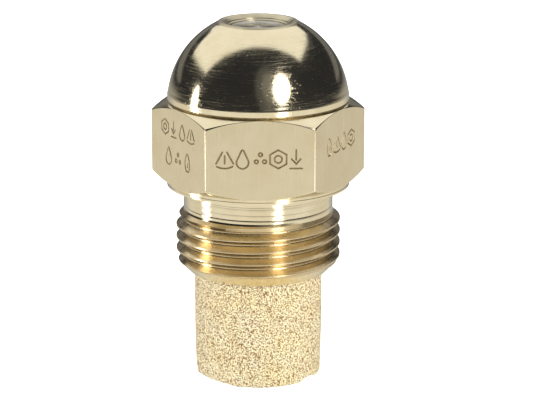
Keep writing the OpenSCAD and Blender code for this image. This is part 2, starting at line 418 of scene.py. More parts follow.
def turned_brass(
    name, roughness, ring_strength, scratch_strength, streak_strength,
    color=BRASS, dull=BRASS_DULL, bright_below=None,
):
    """Brass turned on a lathe: fine rings round the axis, faint blotches and hairline scratches.

    Below the height bright_below its colour is painted brighter: a painted highlight for the light that the
    rear chamfer catches from the bright table below.
    """
    n = Nodes(name)
    x, y, z = n.place()
    # Rings follow z less the radius, so that they show on faces square to the axis too
    slant = n.math("SUBTRACT", z, n.from_axis(x, y))
    rings = n.noise(n.stretched((x, y, slant), 0.16, 9.0), 1.0, 4.0, 0.62)
    blotch = n.noise(n.vector(x, y, z), 0.55, 3.0, 0.55)
    hair = n.noise(n.stretched((x, y, z), 9.0, 0.9), 1.0, 1.0)
    scratch = n.spread(hair, 0.70, 0.76, 0.0, 1.0)
    tint = n.mix(n.spread(blotch, 0.35, 0.7, 0.0, 0.55), color, dull)
    if bright_below is not None:
        # Painted light: below bright_below the colour turns to a brighter brass
        tint = n.mix(n.spread(z, bright_below, bright_below + 0.12, 0.0, 1.0), BRASS_PAINTED_LIGHT, tint)
    normal = n.bump(rings, ring_strength, LINE_DEPTH)
    normal = n.bump(scratch, scratch_strength, SCRATCH_DEPTH, normal)
    # Short dull dashes that the polishing cloth left round the axis
    dashes = n.noise(n.stretched((x, y, slant), 0.4, 19.0), 1.0, 3.0, 0.7)
    worn = n.spread(blotch, 0.3, 0.7, roughness * 0.8, roughness * 1.35)
    rough = n.math("ADD", worn, n.math("MULTIPLY", scratch, 0.12))
    rough = n.math("ADD", rough, n.spread(dashes, 0.46, 0.74, 0.0, streak_strength))
    n.brushed(0.6)
    return n.finish(tint, rough, normal)


def stamped_brass_painted_shade(name):
    """The floor and walls of the stamped marks, and the groove: duller, and painted a mottled dark brown, a
    painted shade in these hollows.
    """
    n = Nodes(name)
    x, y, z = n.place()
    mottle = n.noise(n.vector(x, y, z), 6.0, 3.0)
    # Painted shade: the hollows are coloured a mottled dark brown for the shade in them
    tint = n.mix(n.spread(mottle, 0.35, 0.7, 0.0, 1.0), RECESS_SHADE, RECESS_SHADE_DARK)
    return n.finish(tint, 0.45, n.bump(mottle, 0.3, LINE_DEPTH))


def drawn_brass(name, roughness):
    """The bar's own drawn surface on the flats: faint lines along the axis and a soft satin."""
    n = Nodes(name)
    x, y, z = n.place()
    lines = n.noise(n.stretched((x, y, z), 7.0, 0.22), 1.0, 4.0, 0.6)
    cross = n.noise(n.stretched((x, y, z), 1.2, 11.0), 1.0, 3.0, 0.6)
    blotch = n.noise(n.vector(x, y, z), 0.42, 4.0, 0.6)
    tint = n.mix(n.spread(blotch, 0.35, 0.68, 0.0, 0.6), BRASS, BRASS_DULL)
    normal = n.bump(lines, 0.25, LINE_DEPTH)
    normal = n.bump(cross, 0.10, LINE_DEPTH, normal)
    return n.finish(tint, n.spread(lines, 0.3, 0.7, roughness * 0.85, roughness * 1.2), normal)


def turned_steel(name, roughness):
    """Steel faced on a lathe: rings round the axis."""
    n = Nodes(name)
    x, y, z = n.place()
    r = n.from_axis(x, y)
    rings = n.noise(n.stretched((x, y, n.math("SUBTRACT", z, r)), 0.3, 16.0), 1.0, 3.0, 0.6)
    blotch = n.noise(n.vector(x, y, z), 1.1, 3.0)
    tint = n.mix(n.spread(blotch, 0.35, 0.7, 0.0, 0.5), STEEL, STEEL_DULL)
    # The middle of a face is lapped finer than the rest
    lapped = n.spread(r, 1.40, 1.50, 0.45, 1.0)
    rough = n.math("MULTIPLY", lapped, n.spread(blotch, 0.3, 0.7, roughness * 0.8, roughness * 1.3))
    n.brushed(0.9)
    return n.finish(tint, rough, n.bump(rings, 0.3, LINE_DEPTH))


def sintered_bronze(name):
    """Sintered bronze grains. The mesh says how deep each point lies between its larger grains; the deepest
    points and the gaps between cells are painted dark brown, a painted shade in the pores.
    """
    n = Nodes(name)
    x, y, z = n.place()
    where = n.vector(x, y, z)
    depth = n.new("ShaderNodeAttribute", attribute_name="pore").outputs["Fac"]
    cells = n.new("ShaderNodeTexVoronoi", {"Vector": where, "Scale": 10.0})
    split = n.new("ShaderNodeSeparateColor", {0: cells.outputs["Color"]})
    patch = n.noise(where, 0.5, 3.0)
    face = n.mix(n.spread(patch, 0.3, 0.7, 0.0, 1.0), GRAIN_FACE, GRAIN_FACE_WARM)
    face = n.mix(n.spread(split.outputs[0], 0.2, 1.0, 0.0, 0.6), face, GRAIN_DULL)
    # Painted shade: gaps between cells and points deep between grains turn dark brown
    gap = n.spread(cells.outputs["Distance"], 0.52, 0.61, 0.0, 1.0)
    pit_shade = n.spread(depth, 0.84, 1.0, 0.0, 0.7)
    deep = n.mix(n.math("MAXIMUM", gap, pit_shade), face, PORE_SHADE)
    height = n.math("SUBTRACT", 1.0, cells.outputs["Distance"])
    normal = n.bump(height, 0.7, GRAIN_DEPTH)
    return n.finish(deep, n.spread(split.outputs[1], 0.0, 1.0, 0.35, 0.6), normal, 0.15)


# Roughness, then the strengths of rings, scratches and streaks
polished = turned_brass("polished_brass", 0.09, 0.18, 0.3, 0.22)
faced = turned_brass("faced_brass", 0.32, 0.4, 0.2, 0.05, FACED_BRASS, FACED_BRASS_DULL)
stamped = stamped_brass_painted_shade("stamped_brass_painted_shade")
turned = turned_brass("turned_brass", 0.14, 0.03, 0.02, 0.02)
# The thread's rear chamfer, below 10.3 mm, gets painted light
cut = turned_brass(
    "thread_brass", 0.23, 0.3, 0.1, 0.08, THREAD_BRASS, THREAD_BRASS_DULL, bright_below=10.3
)
drawn = drawn_brass("drawn_brass", 0.30)
steel = turned_steel("turned_steel", 0.33)
bronze = sintered_bronze("sintered_bronze")

# ---- the nozzle body

# The body's finishes by slot
POLISHED, DRAWN, TURNED, CUT, STAMPED, FACED = range(6)

# Columns round the axis: a few across each rounded corner of the hexagon, the rest over its flats
EDGE_CENTRE = (FLAT_R - HEX_EDGE) / math.cos(math.radians(30))
FLAT_COLUMNS = 42
EDGE_STEPS = 6


def hexagon_columns():
    """Angles round the axis from the back seam, each column's radius, and which steps lie on a flat."""
    angles, radii, on_flat = [], [], []
    for side in range(6):
        corner = side * math.pi / 3
        for i in range(EDGE_STEPS):
            t = math.radians(-30 + 60 * i / EDGE_STEPS)
            x, y = EDGE_CENTRE + HEX_EDGE * math.cos(t), HEX_EDGE * math.sin(t)
            angles.append(corner + math.atan2(y, x))
            radii.append(math.hypot(x, y))
            on_flat.append(False)
        t = math.radians(30)
        first = math.atan2(HEX_EDGE * math.sin(t), EDGE_CENTRE + HEX_EDGE * math.cos(t))
        last = math.pi / 3 - first
        for i in range(FLAT_COLUMNS):
            a = first + (last - first) * i / FLAT_COLUMNS
            angles.append(corner + a)
            radii.append(FLAT_R / math.cos(a - math.radians(30)))
            on_flat.append(True)
    return np.array(angles), np.array(radii), np.array(on_flat)


COLUMNS, HEX_R, ON_FLAT = hexagon_columns()


# Marks on the flats: plain pictograms in place of lettering, drawn in (across, up) millimetres


def ring(u, v, r, count=20):
    return circle(u, v, r, turns(count)), True


def line(*points):
    return np.array(points, float), False


def drop_mark(u, v, h):
    """The outline of a drop: a round belly that runs up into a point."""
    belly = h * 0.32
    round_part = arc(u, v - h / 2 + belly, belly, -205, 25, 16)
    tip = arc(u, v + h * 0.43, h * 0.07, 20, 160, 5)
    return [(np.concatenate([round_part, tip]), True)]


def spray_mark(u, v, h):
    """A spray cone: two sides that open downwards, and the arc of its front."""
    top = v + h / 2
    foot = top - h * 0.72
    sides = [line((u + s * 0.12 * h, top - 0.1 * h), (u + s * (h * 0.45), foot)) for s in (-1, 1)]
    middle = line((u, top - 0.3 * h), (u, foot))
    return [*sides, middle, (arc(u, top - 0.1 * h, h * 0.88, -118, -62, 10), False)]


def nut_mark(u, v, h):
    """A hexagon with a ring in it."""
    corners = circle(u, v, h / 2, np.radians(np.arange(6) * 60 + 30))
    return [(corners, True), ring(u, v, h * 0.2, 14)]


def dots_mark(u, v, h):
    """Three small rings in a triangle."""
    places = (math.pi / 2, -math.pi / 6, -5 * math.pi / 6)
    return [ring(u + h * 0.25 * math.cos(a), v + h * 0.25 * math.sin(a), h * 0.1, 10) for a in places]


def flow_mark(u, v, h):
    """An arrow that points down, over a line."""
    return [
        line((u, v + h / 2), (u, v - h * 0.04)),
        line((u - h * 0.24, v + h * 0.02), (u, v - h * 0.26), (u + h * 0.24, v + h * 0.02)),
        line((u - h * 0.32, v - h / 2), (u + h * 0.32, v - h / 2)),
    ]


def flame_mark(u, v, h):
    """A flame's outline: a drop that leans, with a tongue inside."""
    t = np.linspace(0, 1, 9)
    width = 0.3 * h * np.sin(math.pi * (0.15 + 0.75 * t))
    left = np.stack([u - width * (1 - 0.2 * t), v - h / 2 + h * t], 1)
    right = np.stack([u + width * (1 - 0.45 * t), v - h / 2 + h * t], 1)[::-1]
    return [(np.concatenate([left, right]), True), line((u, v - h * 0.24), (u + h * 0.04, v - h * 0.02))]


def mark_row(v, h, spacing, *makers):
    """Marks side by side, centred on the flat."""
    strokes = []
    for i, maker in enumerate(makers):
        strokes += maker((i - (len(makers) - 1) / 2) * spacing, v, h)
    return strokes


STROKE = 0.145
STROKE_FLOOR = 0.06
STROKE_DEPTH = 0.06
MARKS = {
    4: mark_row(21.15, 1.6, 1.5, spray_mark, drop_mark, dots_mark, nut_mark, flow_mark),
    3: mark_row(22.65, 1.35, 1.45, nut_mark, flow_mark, drop_mark, spray_mark)
    + mark_row(20.2, 1.5, 1.6, drop_mark, dots_mark, flame_mark),
    5: mark_row(21.6, 1.45, 1.35, flame_mark, spray_mark, drop_mark, nut_mark),
}


def outlines(points, closed, half):
    """The loops that bound a stroke of that half width along a line."""
    p = np.asarray(points, float)
    if closed:
        ahead, behind = np.roll(p, -1, 0) - p, p - np.roll(p, 1, 0)
    else:
        ahead = np.concatenate([p[1:] - p[:-1], p[-1:] - p[-2:-1]])
        behind = np.concatenate([p[1:2] - p[:1], p[1:] - p[:-1]])
    ahead /= np.linalg.norm(ahead, axis=1, keepdims=True)
    behind /= np.linalg.norm(behind, axis=1, keepdims=True)
    mean = ahead + behind
    mean /= np.linalg.norm(mean, axis=1, keepdims=True)
    side = np.stack([-mean[:, 1], mean[:, 0]], 1)
    stretch = np.minimum(1 / np.maximum((mean * ahead).sum(1), 0.4), 2.0)[:, None]
    left, right = p + side * half * stretch, p - side * half * stretch
    if closed:
        return [left, right]
    caps = []
    for end, direction in ((p[-1], ahead[-1]), (p[0], -ahead[0])):
        across = np.array([-direction[1], direction[0]])
        t = np.radians([60, 30, 0, -30, -60])[:, None]
        caps.append(end + half * (np.cos(t) * direction + np.sin(t) * across))
    return [np.concatenate([left, caps[0], right[::-1], caps[1]])]


def away_from(points, strokes):
    """Distance of each point from the nearest stroke's middle line."""
    best = np.full(len(points), 1e9)
    for line_points, closed in strokes:
        a = line_points if closed else line_points[:-1]
        b = np.roll(line_points, -1, 0) if closed else line_points[1:]
        d = b - a
        t = ((points[:, None] - a[None]) * d).sum(-1) / (d * d).sum(-1)
        near = a + np.clip(t, 0, 1)[..., None] * d
        best = np.minimum(best, np.linalg.norm(points[:, None] - near, axis=-1).min(1))
    return best


def flat_patch(boundary, strokes):
    """Triangles over a flat, with the strokes sunk into it. Points are (across, up, out)."""
    points = [boundary]
    count = len(boundary)
    edges = [(i, (i + 1) % count) for i in range(count)]
    for line_points, closed in strokes:
        for half in (STROKE / 2, STROKE_FLOOR / 2):
            for loop in outlines(line_points, closed, half):
                edges += [(count + i, count + (i + 1) % len(loop)) for i in range(len(loop))]
                count += len(loop)
                points.append(loop)
    given = np.concatenate(points)
    out, _, faces, origins = delaunay_2d_cdt([Vector(p) for p in given], edges, [], 1, 1e-5, True)[:4]
    # The points come back in single precision, so the given ones are put back as they were
    flat = np.array([given[o[0]] if o else tuple(p) for p, o in zip(out, origins)])
    depth = np.zeros(len(flat))
    if strokes:
        share = (STROKE / 2 - away_from(flat, strokes)) / (STROKE / 2 - STROKE_FLOOR / 2)
        depth = -STROKE_DEPTH * np.clip(share, 0, 1)
        depth[share < 0.05] = 0
    return np.column_stack([flat, depth]), faces


def dome_profile():
    """Recess, tip, dome, band and groove, from the opening down to the hexagon."""
    start = math.degrees(math.acos(BLEND_R / DOME_R))
    end = math.degrees(math.asin((BAND_TOP_Z - DOME_Z) / DOME_R))
    dome = arc(0, DOME_Z, DOME_R, start, end, 31)
    head = [
        (OPENING_R, DISC_SEAT_Z), (OPENING_R, DISC_FACE_Z + 0.02),
        *((r, DISC_FACE_Z + up) for r, up in RECESS_STEP),
        (RECESS_R + RECESS_EDGE, TIP_Z - RECESS_EDGE), (RECESS_R + RIM_BREAK, TIP_Z), (TIP_RING_R, TIP_Z),
    ]
    # Rows close to the band's two edges keep it flat in the shading
    tail = [
        (BAND_R, BAND_TOP_Z), (BAND_R, BAND_TOP_Z - 0.02),
        (BAND_R, BAND_BOTTOM_Z + 0.03), (BAND_R - 0.004, BAND_BOTTOM_Z),
        (GROOVE_R, GROOVE_Z), (SHOULDER_R, GROOVE_EDGE_Z),
    ]
    # The ring's worn edge is a curve that leaves the ring and meets the dome along its slope
    t = np.linspace(0, 1, 9)[:, None]
    ring_edge = np.array([TIP_RING_R, TIP_Z])
    slope = np.array([1.0, -BLEND_R / math.sqrt(DOME_R**2 - BLEND_R**2)])
    knee = dome[0] - slope * (BLEND_R - TIP_RING_R) * 0.6
    worn = (1 - t) ** 2 * ring_edge + 2 * t * (1 - t) * knee + t**2 * dome[0]
    return np.concatenate([fillet([*head, *worn[1:3]], LATHE_ROUND)[:-1], worn[2:-1], dome[:-1], tail])


def hexagon_profile():
    """The hexagon's columns: upper chamfer, flat, lower chamfer, as points (K, C, 2)."""
    count = len(COLUMNS)

    def level(r, z):
        return np.stack([np.full(count, r), np.full(count, z)], -1)

    top_z = HEX_TOP_Z - (HEX_R - FLAT_R) * TOP_CHAMFER
    bottom_z = HEX_BOTTOM_Z + (HEX_R - FLAT_R) * BOTTOM_CHAMFER
    return np.stack([
        level(SHOULDER_R, GROOVE_EDGE_Z),
        level(FLAT_R, HEX_TOP_Z),
        np.stack([HEX_R, top_z], -1),
        np.stack([HEX_R, bottom_z], -1),
        level(FLAT_R, HEX_BOTTOM_Z),
        level(COLLAR_R, COLLAR_TOP_Z),
    ])


THREAD_DEPTH = 0.6134 * THREAD_PITCH
# The outside thread's grooves die out over RUN_OUT_H above this height
RUN_OUT_Z = 10.22
RUN_OUT_H = 0.3


def thread_envelope(z):
    """Radius that the outside thread is cut down to near its two ends."""
    return np.minimum(NECK_R + (THREAD_TOP_Z - z), REAR_R + (z - REAR_Z))


# Heights and depths of the lines that the lathe left round the neck
NECK_LINES = ((16.52, 0.008), (16.38, 0.005), (15.82, 0.006), (15.36, 0.012))
# A shallow undercut over the thread, and where round the neck it runs out, in degrees from the front
UNDERCUT = 0.06
UNDERCUT_H = 0.17
UNDERCUT_REACH = 0.26
UNDERCUT_ENDS = (-170, 35)
UNDERCUT_FADE = 40


def neck_profile():
    """Collar, its underside and the relief neck with a few turned lines, down to the thread."""
    points = [
        (COLLAR_R, COLLAR_TOP_Z),
        (COLLAR_R, COLLAR_LINE_Z + 0.03), (COLLAR_R - 0.04, COLLAR_LINE_Z),
        (COLLAR_R, COLLAR_LINE_Z - 0.03),
        (COLLAR_R, COLLAR_BOTTOM_Z),
        (NECK_R + 0.05, COLLAR_BOTTOM_Z),
        (NECK_R, COLLAR_BOTTOM_Z - 0.06),
    ]
    for z, depth in NECK_LINES:
        points += [(NECK_R, z + 0.03), (NECK_R - depth, z), (NECK_R, z - 0.03)]
    # A step in to the undercut, whose floor slopes back out to the top of the thread
    for down, deep in ((-0.1, 0.0), (0.0, 1.0), (0.1, 0.9), (0.9, 0.1), (1.0, 0.0)):
        points.append((NECK_R - UNDERCUT * deep, THREAD_TOP_Z + UNDERCUT_H * (1 - down)))
    neck = np.repeat(fillet(points, LATHE_ROUND, 2, 60.0)[:, None, :], len(COLUMNS), 1)
    # The undercut runs out on the front right, where the thread begins
    azimuth = np.degrees(np.angle(np.exp(1j * (COLUMNS + math.pi / 2))))
    first, last = UNDERCUT_ENDS
    cut_share = np.clip((last - azimuth) / UNDERCUT_FADE, 0.0, 1.0)
    cut_share = cut_share * np.clip((azimuth - first) / UNDERCUT_FADE, 0.0, 1.0)
    r, z = neck[..., 0], neck[..., 1]
    neck[..., 0] = np.where(z < THREAD_TOP_Z + UNDERCUT_REACH, NECK_R - (NECK_R - r) * cut_share, r)
    return neck


INSIDE_MINOR_R = 4.08
INSIDE_DEPTH = 0.47
INSIDE_RELIEF_Z = 15.5
INSIDE_ENTRY_R = 4.75


def inside_envelope(z):
    """Radius that the inside thread is opened up to at its entry and at its inner end."""
    entry = INSIDE_ENTRY_R - (z - LOCK_REAR_Z)
    relief = INSIDE_MINOR_R + INSIDE_DEPTH - np.maximum(INSIDE_RELIEF_Z - z, 0)
    return np.maximum(entry, relief)


def nozzle_body():
    shell = Shell()
    nose = dome_profile()
    tip = int(np.argmax(nose[:, 0] > FACED_R))
    shell.grid(spin(nose[: tip + 1], COLUMNS), FACED)
    shell.grid(spin(nose[tip:-2], COLUMNS), POLISHED)
    # The last three points are the groove under the band, whose dark brown colour is painted shade
    shell.grid(spin(nose[-3:], COLUMNS), STAMPED)
    towards_corner = (HEX_R - FLAT_R)[:, None] / (HEX_R - FLAT_R).max()
    hexagon = fillet(hexagon_profile(), HEX_ROUND + HEX_ROUND_AT_CORNERS * towards_corner**2, 4, 5.0)
    rows = spin(hexagon, COLUMNS)
    # The tall step of rows between the two chamfers is the flats: rounded corners stay as quads
    tall = int(np.argmax(hexagon[:-1, 0, 1] - hexagon[1:, 0, 1]))
    shell.grid(rows[: tall + 1], TURNED)
    shell.grid(rows[tall + 1 :], TURNED)
    keep = ~ON_FLAT[None, :]
    shell.grid(rows[tall : tall + 2], TURNED, keep=keep)
    per_side = EDGE_STEPS + FLAT_COLUMNS
    for side in range(6):
        middle = (side + 0.5) * math.pi / 3
        out = np.array([math.cos(middle), math.sin(middle), 0])
        across = np.array([-math.sin(middle), math.cos(middle), 0])
        start = side * per_side + EDGE_STEPS
        picked = np.arange(start, start + FLAT_COLUMNS + 1) % len(COLUMNS)
        loop = np.concatenate([rows[tall + 1, picked], rows[tall, picked][::-1]])
        boundary = np.stack([loop @ across, loop[:, 2]], 1)
        flat, faces = flat_patch(boundary, MARKS.get(side, []))
        points = flat[:, :1] * across + flat[:, 1:2] * [0, 0, 1] + (FLAT_R + flat[:, 2:3]) * out
        sunk = [flat[f, 2].min() < -STROKE_DEPTH / 2 for f in faces]
        shell.add(points, [f for f, s in zip(faces, sunk) if not s], DRAWN)
        shell.add(points, [f for f, s in zip(faces, sunk) if s], STAMPED)
    shell.grid(spin(neck_profile(), COLUMNS), TURNED)
    around = once_round(COLUMNS)
    period = thread_period(THREAD_PITCH, THREAD_DEPTH, THREAD_PITCH / 8, 0.015, 0.16)
    outside = helix_rows(
        around, REAR_Z, THREAD_TOP_Z, FIRST_CREST_Z, THREAD_PITCH, period,
        lambda d, z: np.minimum(
            THREAD_R - d * np.clip((z - RUN_OUT_Z) / RUN_OUT_H, 0, 1), thread_envelope(z)
        ),
    )
    shell.grid(outside, CUT, closed=False)
    rear = [
        (REAR_R, REAR_Z), (REAR_R - 0.04, REAR_Z), (SEAL_R, REAR_Z), (SEAL_R, LOCK_REAR_Z),
        (INSIDE_ENTRY_R, LOCK_REAR_Z),
    ]
    shell.grid(spin(fillet(rear, 0.04, 2), COLUMNS), TURNED)
    lock = thread_period(LOCK_PITCH, INSIDE_DEPTH, LOCK_PITCH / 8, 0.03, 0.03)
    inside = helix_rows(
        around, LOCK_REAR_Z, INSIDE_TOP_Z, LOCK_REAR_Z + LOCK_PITCH / 2, LOCK_PITCH, lock,
        lambda d, z: np.maximum(INSIDE_MINOR_R + d, inside_envelope(z)),
    )
    shell.grid(inside, TURNED, closed=False)
    bore = [
        (INSIDE_MINOR_R + INSIDE_DEPTH, INSIDE_TOP_Z), (CHAMBER_R, INSIDE_TOP_Z),
        (CHAMBER_R, CHAMBER_TOP_Z), (DISC_BORE_R, CHAMBER_TOP_Z),
        (DISC_BORE_R, DISC_SEAT_Z), (OPENING_R, DISC_SEAT_Z),
    ]
    shell.grid(spin(fillet(bore, LATHE_ROUND, 2), COLUMNS), TURNED)
    finishes = [polished, drawn, turned, cut, stamped, faced]
    mesh = shell.mesh("nozzle_body_brass")
    return finished("nozzle_body_brass", mesh, finishes, "nozzle_body", "nozzle_body", "body_brass")


# ---- the sintered filter

# Size of a grain's cell, where in it the grain's centre may lie, and how far out the grain reaches
GRAIN = 0.17
GRAIN_LOW, GRAIN_SPAN = 0.15, 0.7
GRAIN_REACH = 0.78
# How far the tops of the grains stand out, and how deep it is from there to a pore
GRAIN_RISE = 0.03
PORE_DEPTH = 0.08
FILTER_TOP_Z = 9.57
FILTER_TOP_R = 5.56
FILTER_FOOT_R = 5.44
FILTER_EDGE = 0.14
FILTER_TOP_EDGE = 0.1
FILTER_BORE_R = 3.5
FILTER_FLOOR_Z = 2.0
BUSH_R = 4.6
BUSH_BORE_R = 3.4
BUSH_BOTTOM_Z = 5.57
# Spacing of the filter's mesh: outside, under the foot and inside
FINE, COARSE, INNER = 0.067, 0.12, 0.14
FILTER_COLUMNS = 512


def adaptive_lathe(shell, profile, widest, spacing):
    """Turns a profile with fewer columns where the radius is small, so that its quads stay even."""
    ring_before, count_before = None, None
    for (r, z), gap in zip(profile, spacing):
        count = widest
        while count > 8 and 2 * math.pi * r / count < 0.7 * gap:
            count //= 2
        if count_before is not None:
            count = min(max(count, count_before // 2), count_before * 2)
        a = turns(count)
        points = np.stack([r * np.cos(a), r * np.sin(a), np.full(count, z)], 1)
        if r < 1e-6:
            points = np.repeat(points[:1], count, 0)
        if ring_before is not None:
            both = np.concatenate([ring_before, points])
            i = np.arange(max(count, count_before))
            if count == count_before:
                faces = np.stack([i, i + count, (i + 1) % count + count, (i + 1) % count], 1)
            else:
                many, few = max(count, count_before), min(count, count_before)
                j = np.arange(few)
                m0, m1, m2 = 2 * j, 2 * j + 1, (2 * j + 2) % many
                f0, f1 = j, (j + 1) % few
                if count > count_before:
                    m0, m1, m2 = m0 + few, m1 + few, m2 + few
                else:
                    f0, f1 = f0 + many, f1 + many
                thirds = ((m0, m1, f0), (m1, f1, f0), (m1, m2, f1))
                faces = np.concatenate([np.stack(t, 1) for t in thirds])
            shell.add(both, faces)
        ring_before, count_before = points, count


def along(points, gap):
    """Points every `gap` along a line of corners."""
    p = np.asarray(points, float)
    rows = [p[:1]]
    for a, b in zip(p[:-1], p[1:]):
        steps = max(1, round(float(np.linalg.norm(b - a)) / gap))
        rows.append(a + (b - a) * (np.arange(1, steps + 1) / steps)[:, None])
    return np.concatenate(rows)


def grain_depth(points):
    """0 on top of a grain to 1 between grains: distance from the nearest of many scattered centres."""
    low = points.min(0) - 2 * GRAIN
    cells = np.ceil((points.max(0) + 2 * GRAIN - low) / GRAIN).astype(int) + 1
    centres = np.random.RandomState(7).random_sample((*cells, 3))
    home = np.floor((points - low) / GRAIN).astype(int)
    best = np.full(len(points), 1e9)
    for dx in (-1, 0, 1):
        for dy in (-1, 0, 1):
            for dz in (-1, 0, 1):
                c = home + (dx, dy, dz)
                spot = GRAIN_LOW + GRAIN_SPAN * centres[c[:, 0], c[:, 1], c[:, 2]]
                centre = low + (c + spot) * GRAIN
                best = np.minimum(best, np.linalg.norm(points - centre, axis=1))
    return np.clip(best / (GRAIN_REACH * GRAIN), 0, 1)


# Larger chips out of the foot's edge: degrees from the front towards +X, half width and depth
CHIPS = ((-52, 30, 0.16), (56, 13, 0.34), (-95, 16, 0.2), (140, 20, 0.2), (205, 12, 0.15))
# The edge crumbles below this height and outside this radius, in waves of so many to a turn
CRUMBLE_H = 0.7
CRUMBLE_R, CRUMBLE_FADE = 4.2, 0.9
CRUMBLE_WAVES = (3, 5, 8, 11, 17, 23, 31)
CRUMBLE_DEPTH, CRUMBLE_MOST = 0.05, 0.15


def crumble(points):
    """How much of the foot's edge has broken away at each point, in millimetres."""
    x, y, z = points.T
    a = np.arctan2(y, x)
    rng = np.random.RandomState(11)
    wave = sum(
        rng.uniform(0.3, 1.0) / math.sqrt(k) * np.sin(k * a + rng.uniform(0, 2 * math.pi))
        for k in CRUMBLE_WAVES
    )
    near = np.clip(1 - z / CRUMBLE_H, 0, 1) * np.clip((np.hypot(x, y) - CRUMBLE_R) / CRUMBLE_FADE, 0, 1)
    broken = np.clip(CRUMBLE_DEPTH * wave, 0, CRUMBLE_MOST)
    for azimuth, half_wide, depth in CHIPS:
        away = np.degrees(np.angle(np.exp(1j * (a + math.pi / 2 - math.radians(azimuth)))))
        broken = np.maximum(broken, depth * np.clip(2.0 - np.abs(away) / half_wide * 2.0, 0, 1))
    return broken * near


def sintered_filter():
    shell = Shell()
    foot_r = FILTER_FOOT_R - FILTER_EDGE
    foot = along([(0, 0), (foot_r, 0)], COARSE)
    outer = along([
        (foot_r, 0), (FILTER_FOOT_R, FILTER_EDGE), (FILTER_TOP_R - 0.01, 4.0), (FILTER_TOP_R, 6.5),
        (FILTER_TOP_R, FILTER_TOP_Z - FILTER_TOP_EDGE), (FILTER_TOP_R - FILTER_TOP_EDGE, FILTER_TOP_Z),
        (BUSH_R, FILTER_TOP_Z),
    ], FINE)
    bore = np.array([(BUSH_R, FILTER_TOP_Z), (BUSH_R, FILTER_TOP_Z - 0.1), (BUSH_R, BUSH_BOTTOM_Z)])
    cup = along([
        (BUSH_R, BUSH_BOTTOM_Z), (FILTER_BORE_R, BUSH_BOTTOM_Z), (FILTER_BORE_R, FILTER_FLOOR_Z),
        (0, FILTER_FLOOR_Z),
    ], INNER)
    lines = ((foot, COARSE), (outer[1:], FINE), (bore[1:], FINE), (cup[1:], INNER))
    profile = np.concatenate([points for points, _ in lines])
    spacing = np.concatenate([np.full(len(points), gap) for points, gap in lines])
    adaptive_lathe(shell, profile, FILTER_COLUMNS, spacing)
    mesh = shell.mesh("sintered_filter_bronze")
    work = bmesh.new()
    work.from_mesh(mesh)
    bmesh.ops.recalc_face_normals(work, faces=work.faces)
    work.normal_update()
    points = np.array([v.co for v in work.verts]) / MM
    normals = np.array([v.normal for v in work.verts])
    work.to_mesh(mesh)
    work.free()
    depth = grain_depth(points)
    radius = np.hypot(points[:, 0], points[:, 1])
    on_bush = (np.abs(radius - BUSH_R) < 0.02) & (points[:, 2] > BUSH_BOTTOM_Z - 0.02)
    sink = np.where(on_bush, 0.0, PORE_DEPTH * depth**2 - GRAIN_RISE + crumble(points))
    moved = points - normals * sink[:, None]
    moved[:, 2] = np.maximum(moved[:, 2], 0.0)
    mesh.vertices.foreach_set("co", (moved * MM).astype(np.float32).ravel())
    pore = mesh.attributes.new("pore", "FLOAT", "POINT")
    pore.data.foreach_set("value", depth.astype(np.float32))
    return finished(mesh.name, mesh, [bronze], "filter", "sintered_filter", "filter_bronze", 80.0)


# ---- parts inside


def lathe_piece(name, profile, columns, round_r, material, body, node, slot):
    shell = Shell()
    shell.grid(spin(fillet(profile, round_r, 3), turns(columns)))
    return finished(name, shell.mesh(name), [material], body, node, slot)


# The orifice disc, with the cone under it that the distributor presses into
DISC_R = 3.66
DISC_BOTTOM_Z = 28.3
DISC_SHOULDER_Z = 30.17
DISC_LAND_R = 2.36
ORIFICE_R = 0.15
CONE_TOP_R, CONE_TOP_Z = 0.432, 30.73
CONE_FOOT_R = 2.862
LATHE_COLUMNS = 192


def orifice_disc():
    face = DISC_FACE_Z
    profile = [
        (ORIFICE_R, CONE_TOP_Z), (ORIFICE_R, face), (0.20, face), (0.21, face - 0.06),
        (1.46, face - 0.05), (1.49, face - 0.07), (1.52, face - 0.04),
        (DISC_LAND_R, face - 0.02), (DISC_LAND_R, DISC_SHOULDER_Z), (DISC_R, DISC_SHOULDER_Z),
        (DISC_R, DISC_BOTTOM_Z), (CONE_FOOT_R, DISC_BOTTOM_Z), (CONE_TOP_R, CONE_TOP_Z),
        (ORIFICE_R, CONE_TOP_Z),
    ]
    names = ("orifice_disc", "orifice_disc", "disc_steel")
    return lathe_piece("orifice_disc_steel", profile, LATHE_COLUMNS, 0.04, steel, *names)


def filter_bush():
    inner, outer, low, high = BUSH_BORE_R, BUSH_R, BUSH_BOTTOM_Z, FILTER_TOP_Z
    profile = [
        (inner, (low + high) / 2), (inner, high - 0.15), (inner + 0.15, high), (outer, high),
        (outer, low), (inner + 0.1, low), (inner, low + 0.1), (inner, (low + high) / 2),
    ]
    names = ("filter", "filter_bush", "bush_brass")
    return lathe_piece("filter_bush_brass", profile, LATHE_COLUMNS, 0.04, turned, *names)


def cutter(make, matrix, **shape):
    """A mesh to cut with, made by a bmesh operator with its sizes in millimetres."""
    mesh = bpy.data.meshes.new("cutter")
    work = bmesh.new()
    make(work, matrix=matrix, **shape)
    bmesh.ops.scale(work, vec=(MM, MM, MM), verts=work.verts)
    work.to_mesh(mesh)
    work.free()
    return mesh


def block(length, width, height, matrix):
    return cutter(bmesh.ops.create_cube, matrix @ Matrix.Diagonal((length, width, height, 1)), size=1.0)


def rod(r, length, matrix):
    """A cylinder along its own Z."""
    shape = {"cap_ends": True, "segments": 32, "radius1": r, "radius2": r, "depth": length}
    return cutter(bmesh.ops.create_cone, matrix, **shape)


